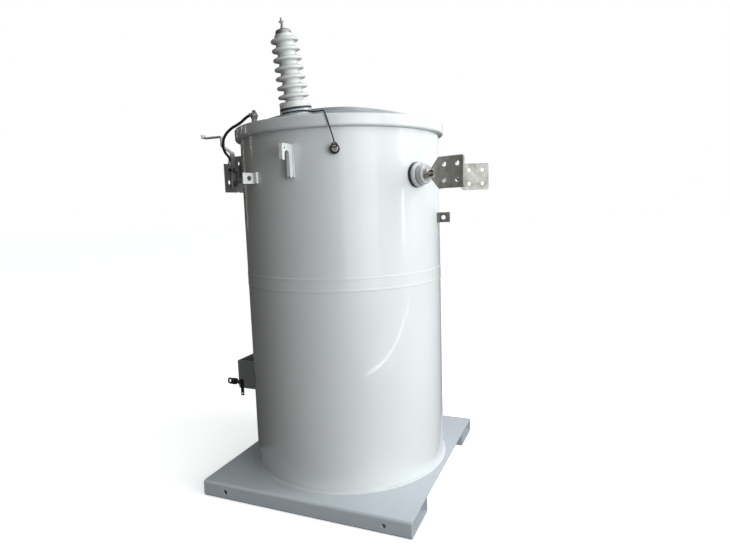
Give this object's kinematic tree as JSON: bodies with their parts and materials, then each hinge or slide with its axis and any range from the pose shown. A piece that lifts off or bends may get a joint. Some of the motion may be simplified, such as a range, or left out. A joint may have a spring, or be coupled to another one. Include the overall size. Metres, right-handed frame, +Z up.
{
  "type": "pole mounted transformer",
  "caption": "Pole mounted distribution transformer: round painted tank on a folded base, clamped domed cover, tall high-voltage bushing, low-voltage spades and pole hangers.",
  "frame": {"origin": "on the tank axis at the level of the floor, under the base's rails", "axes": "+Z up along the tank axis; +X is the low-voltage side and -X the pole side; the base's folded rails run along X at +Y and -Y"},
  "size_m": [0.9957, 0.7622, 1.4691],
  "materials": {
    "tank_paint": "gloss",
    "cover_paint": "gloss",
    "base_paint": "satin",
    "hanger_paint": "gloss",
    "porcelain": "glazed ceramic",
    "gasket_rubber": "matte",
    "tinned_copper": "brushed tin",
    "tinned_bronze": "satin",
    "bronze": "satin",
    "zinc_steel": "satin",
    "bright_steel": "brushed",
    "black_steel": "satin",
    "wire_steel": "satin",
    "lead_jacket": "satin"
  },
  "bodies": {
    "root": {"base_pan": "base_paint", "foot_weld": "tank_paint", "tank_lower": "tank_paint", "tank_band": "tank_paint", "tank_upper": "tank_paint", "cover": "cover_paint", "clamp_band": "tank_paint", "clamp_bolt": "zinc_steel", "hv_gasket": "gasket_rubber", "hv_porcelain": "porcelain", "hv_cap": "zinc_steel", "hv_terminal": "tinned_bronze", "hv_terminal_screw": "tinned_bronze", "lv_gasket_left": "gasket_rubber", "lv_gasket_right": "gasket_rubber", "lv_porcelain_left": "porcelain", "lv_porcelain_right": "porcelain", "lv_stud_left": "tinned_copper", "lv_stud_right": "tinned_copper", "lv_spade_left": "tinned_copper", "lv_spade_right": "tinned_copper", "lifting_lug_left": "tank_paint", "lifting_lug_right": "tank_paint", "upper_hanger": "hanger_paint", "lower_hanger": "tank_paint", "arrester_bracket": "zinc_steel", "bracket_bolts": "black_steel", "neutral_tab": "bright_steel", "ground_tab": "bright_steel", "ground_connector": "bronze", "tag_bolt": "zinc_steel", "connector_tag": "zinc_steel", "relief_valve": "bronze", "relief_ring": "zinc_steel", "relief_wire": "wire_steel", "cover_stud": "zinc_steel", "lead_lug_top": "tinned_copper", "lead_lug_foot": "tinned_copper", "bonding_lead": "lead_jacket"}
  },
  "joints": []
}
